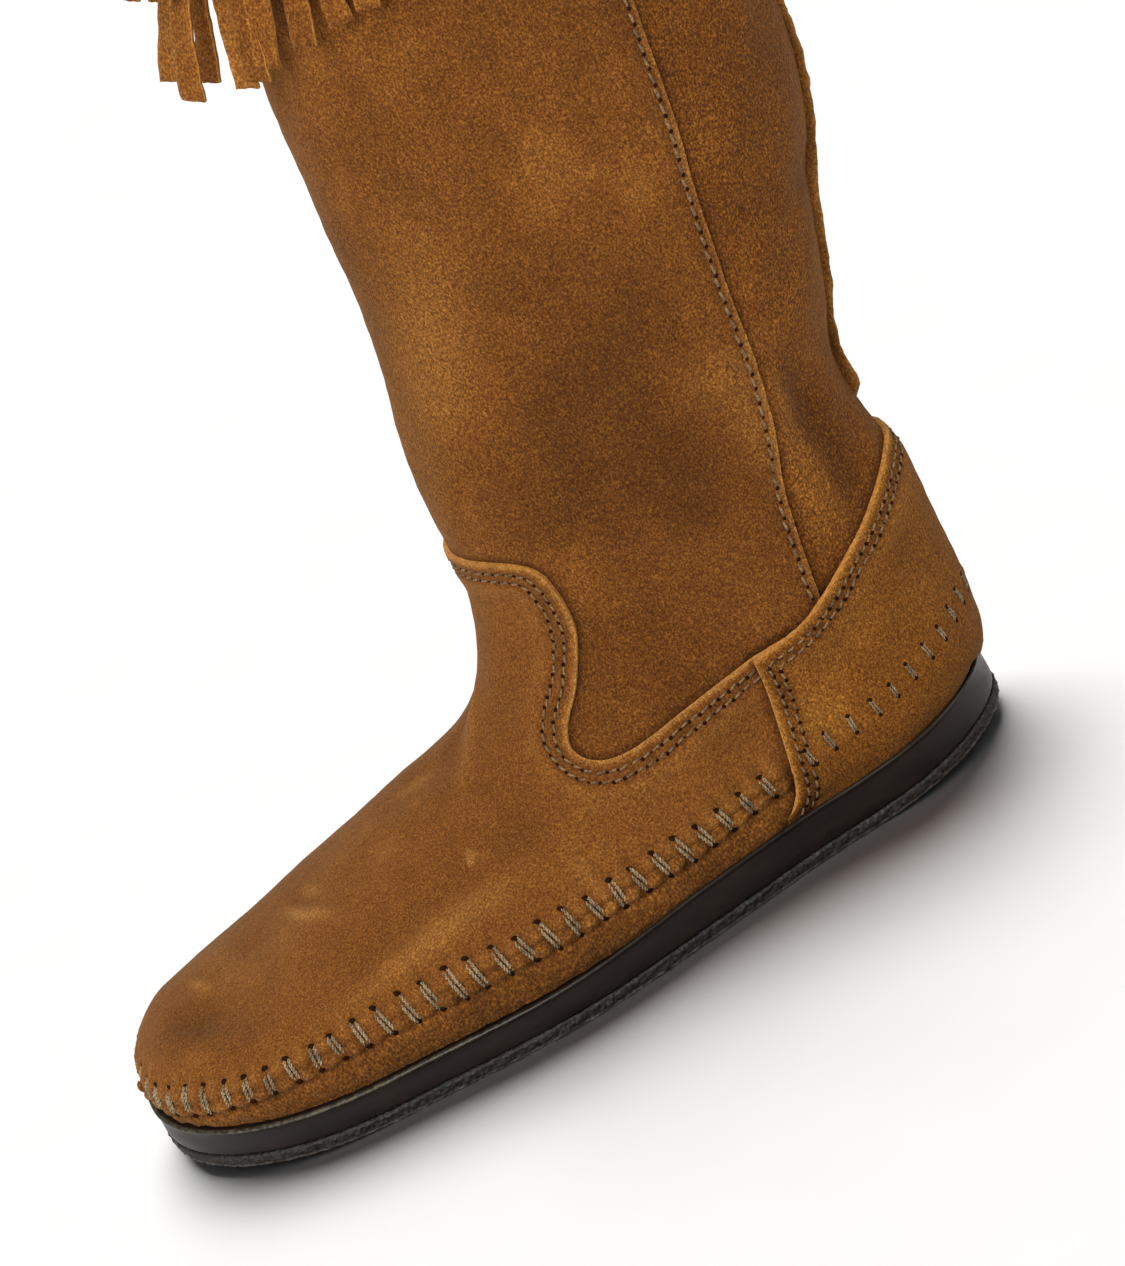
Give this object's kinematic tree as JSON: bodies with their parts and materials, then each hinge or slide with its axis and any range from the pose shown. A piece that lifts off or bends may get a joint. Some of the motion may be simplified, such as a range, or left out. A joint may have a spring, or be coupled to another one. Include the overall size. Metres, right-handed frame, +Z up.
{
  "type": "fringed moccasin boot",
  "caption": "Left knee-high pull-on moccasin boot in soft tan suede: flat rubber sole, whip-stitched wall and vamp, heel counter, side and back seams, layered swinging fringe at the top.",
  "frame": {"origin": "on the ground under the middle of the sole's length, on the sole's flat bottom", "axes": "+Z up; toe towards -X; outer (lateral) side of the left foot towards -Y, inner side towards +Y"},
  "size_m": [0.323, 0.1094, 0.42],
  "materials": {
    "suede_tan": "brushed suede nap, tan brown",
    "suede_fringe": "rough suede strip, cut edges lighter",
    "suede_lining": "rough flesh side of the suede",
    "sole_rubber": "dark brown moulded rubber, satin side wall and rough tread edge",
    "fibre_board": "pressed fibre board",
    "footbed_cloth": "soft brushed cover over foam",
    "thread": "twisted waxed thread, grey-beige"
  },
  "bodies": {
    "boot": {"outsole_tread": "sole_rubber", "midsole": "sole_rubber", "insole_board": "fibre_board", "footbed": "footbed_cloth", "heel_stiffener": "fibre_board", "moccasin_wall": "suede_tan", "vamp": "suede_tan", "heel_counter": "suede_tan", "shaft_front": "suede_tan", "shaft_back_lateral": "suede_tan", "shaft_back_medial": "suede_tan", "top_facing": "suede_lining", "fringe_header_top": "suede_tan", "fringe_header_middle": "suede_tan", "fringe_header_low": "suede_tan"},
    "fringe_low_1": {"fringe_low_1": "suede_fringe"},
    "fringe_low_2": {"fringe_low_2": "suede_fringe"},
    "fringe_low_3": {"fringe_low_3": "suede_fringe"},
    "fringe_low_4": {"fringe_low_4": "suede_fringe"},
    "fringe_low_5": {"fringe_low_5": "suede_fringe"},
    "fringe_low_6": {"fringe_low_6": "suede_fringe"},
    "fringe_low_7": {"fringe_low_7": "suede_fringe"},
    "fringe_low_8": {"fringe_low_8": "suede_fringe"},
    "fringe_middle_1": {"fringe_middle_1": "suede_fringe"},
    "fringe_middle_2": {"fringe_middle_2": "suede_fringe"},
    "fringe_middle_3": {"fringe_middle_3": "suede_fringe"},
    "fringe_middle_4": {"fringe_middle_4": "suede_fringe"},
    "fringe_middle_5": {"fringe_middle_5": "suede_fringe"},
    "fringe_middle_6": {"fringe_middle_6": "suede_fringe"},
    "fringe_middle_7": {"fringe_middle_7": "suede_fringe"},
    "fringe_middle_8": {"fringe_middle_8": "suede_fringe"},
    "fringe_top_1": {"fringe_top_1": "suede_fringe"},
    "fringe_top_2": {"fringe_top_2": "suede_fringe"},
    "fringe_top_3": {"fringe_top_3": "suede_fringe"},
    "fringe_top_4": {"fringe_top_4": "suede_fringe"},
    "fringe_top_5": {"fringe_top_5": "suede_fringe"},
    "fringe_top_6": {"fringe_top_6": "suede_fringe"},
    "fringe_top_7": {"fringe_top_7": "suede_fringe"},
    "fringe_top_8": {"fringe_top_8": "suede_fringe"}
  },
  "joints": [
    {"name": "fringe_low_1_swing", "type": "hinge", "parent": "boot", "child": "fringe_low_1", "pos_m": [0.17453, -0.02364, 0.3516], "axis": [-0.5866, -0.8099, 0], "range_deg": [0, 60]},
    {"name": "fringe_low_2_swing", "type": "hinge", "parent": "boot", "child": "fringe_low_2", "pos_m": [0.13593, -0.04769, 0.3516], "axis": [-0.9707, -0.2404, 0], "range_deg": [0, 60]},
    {"name": "fringe_low_3_swing", "type": "hinge", "parent": "boot", "child": "fringe_low_3", "pos_m": [0.08999, -0.04713, 0.3516], "axis": [-0.9642, 0.2652, 0], "range_deg": [0, 60]},
    {"name": "fringe_low_4_swing", "type": "hinge", "parent": "boot", "child": "fringe_low_4", "pos_m": [0.05228, -0.02182, 0.3516], "axis": [-0.5479, 0.8365, 0], "range_deg": [0, 60]},
    {"name": "fringe_low_5_swing", "type": "hinge", "parent": "boot", "child": "fringe_low_5", "pos_m": [0.05228, 0.02182, 0.3516], "axis": [0.5479, 0.8365, 0], "range_deg": [0, 60]},
    {"name": "fringe_low_6_swing", "type": "hinge", "parent": "boot", "child": "fringe_low_6", "pos_m": [0.08999, 0.04713, 0.3516], "axis": [0.9642, 0.2652, 0], "range_deg": [0, 60]},
    {"name": "fringe_low_7_swing", "type": "hinge", "parent": "boot", "child": "fringe_low_7", "pos_m": [0.13593, 0.04769, 0.3516], "axis": [0.9707, -0.2404, 0], "range_deg": [0, 60]},
    {"name": "fringe_low_8_swing", "type": "hinge", "parent": "boot", "child": "fringe_low_8", "pos_m": [0.17453, 0.02364, 0.3516], "axis": [0.5866, -0.8099, 0], "range_deg": [0, 60]},
    {"name": "fringe_middle_1_swing", "type": "hinge", "parent": "boot", "child": "fringe_middle_1", "pos_m": [0.17803, -0.02366, 0.3816], "axis": [-0.585, -0.8111, 0], "range_deg": [0, 60]},
    {"name": "fringe_middle_2_swing", "type": "hinge", "parent": "boot", "child": "fringe_middle_2", "pos_m": [0.13956, -0.04773, 0.3816], "axis": [-0.9704, -0.2414, 0], "range_deg": [0, 60]},
    {"name": "fringe_middle_3_swing", "type": "hinge", "parent": "boot", "child": "fringe_middle_3", "pos_m": [0.09378, -0.04717, 0.3816], "axis": [-0.9639, 0.2663, 0], "range_deg": [0, 60]},
    {"name": "fringe_middle_4_swing", "type": "hinge", "parent": "boot", "child": "fringe_middle_4", "pos_m": [0.05619, -0.02184, 0.3816], "axis": [-0.5463, 0.8376, 0], "range_deg": [0, 60]},
    {"name": "fringe_middle_5_swing", "type": "hinge", "parent": "boot", "child": "fringe_middle_5", "pos_m": [0.05619, 0.02184, 0.3816], "axis": [0.5463, 0.8376, 0], "range_deg": [0, 60]},
    {"name": "fringe_middle_6_swing", "type": "hinge", "parent": "boot", "child": "fringe_middle_6", "pos_m": [0.09378, 0.04717, 0.3816], "axis": [0.9639, 0.2663, 0], "range_deg": [0, 60]},
    {"name": "fringe_middle_7_swing", "type": "hinge", "parent": "boot", "child": "fringe_middle_7", "pos_m": [0.13956, 0.04773, 0.3816], "axis": [0.9704, -0.2414, 0], "range_deg": [0, 60]},
    {"name": "fringe_middle_8_swing", "type": "hinge", "parent": "boot", "child": "fringe_middle_8", "pos_m": [0.17803, 0.02366, 0.3816], "axis": [0.585, -0.8111, 0], "range_deg": [0, 60]},
    {"name": "fringe_top_1_swing", "type": "hinge", "parent": "boot", "child": "fringe_top_1", "pos_m": [0.18153, -0.0237, 0.4116], "axis": [-0.583, -0.8125, 0], "range_deg": [0, 60]},
    {"name": "fringe_top_2_swing", "type": "hinge", "parent": "boot", "child": "fringe_top_2", "pos_m": [0.14319, -0.04782, 0.4116], "axis": [-0.9701, -0.2425, 0], "range_deg": [0, 60]},
    {"name": "fringe_top_3_swing", "type": "hinge", "parent": "boot", "child": "fringe_top_3", "pos_m": [0.09756, -0.04725, 0.4116], "axis": [-0.9635, 0.2676, 0], "range_deg": [0, 60]},
    {"name": "fringe_top_4_swing", "type": "hinge", "parent": "boot", "child": "fringe_top_4", "pos_m": [0.0601, -0.02188, 0.4116], "axis": [-0.5443, 0.8389, 0], "range_deg": [0, 60]},
    {"name": "fringe_top_5_swing", "type": "hinge", "parent": "boot", "child": "fringe_top_5", "pos_m": [0.0601, 0.02188, 0.4116], "axis": [0.5443, 0.8389, 0], "range_deg": [0, 60]},
    {"name": "fringe_top_6_swing", "type": "hinge", "parent": "boot", "child": "fringe_top_6", "pos_m": [0.09756, 0.04725, 0.4116], "axis": [0.9635, 0.2676, 0], "range_deg": [0, 60]},
    {"name": "fringe_top_7_swing", "type": "hinge", "parent": "boot", "child": "fringe_top_7", "pos_m": [0.14319, 0.04782, 0.4116], "axis": [0.9701, -0.2425, 0], "range_deg": [0, 60]},
    {"name": "fringe_top_8_swing", "type": "hinge", "parent": "boot", "child": "fringe_top_8", "pos_m": [0.18153, 0.0237, 0.4116], "axis": [0.583, -0.8125, 0], "range_deg": [0, 60]}
  ],
  "couplings": [
    {"joint": "fringe_middle_1_swing", "follows": "fringe_low_1_swing", "ratio": 1},
    {"joint": "fringe_middle_2_swing", "follows": "fringe_low_2_swing", "ratio": 1},
    {"joint": "fringe_middle_3_swing", "follows": "fringe_low_3_swing", "ratio": 1},
    {"joint": "fringe_middle_4_swing", "follows": "fringe_low_4_swing", "ratio": 1},
    {"joint": "fringe_middle_5_swing", "follows": "fringe_low_5_swing", "ratio": 1},
    {"joint": "fringe_middle_6_swing", "follows": "fringe_low_6_swing", "ratio": 1},
    {"joint": "fringe_middle_7_swing", "follows": "fringe_low_7_swing", "ratio": 1},
    {"joint": "fringe_middle_8_swing", "follows": "fringe_low_8_swing", "ratio": 1},
    {"joint": "fringe_top_1_swing", "follows": "fringe_low_1_swing", "ratio": 1},
    {"joint": "fringe_top_2_swing", "follows": "fringe_low_2_swing", "ratio": 1},
    {"joint": "fringe_top_3_swing", "follows": "fringe_low_3_swing", "ratio": 1},
    {"joint": "fringe_top_4_swing", "follows": "fringe_low_4_swing", "ratio": 1},
    {"joint": "fringe_top_5_swing", "follows": "fringe_low_5_swing", "ratio": 1},
    {"joint": "fringe_top_6_swing", "follows": "fringe_low_6_swing", "ratio": 1},
    {"joint": "fringe_top_7_swing", "follows": "fringe_low_7_swing", "ratio": 1},
    {"joint": "fringe_top_8_swing", "follows": "fringe_low_8_swing", "ratio": 1}
  ]
}
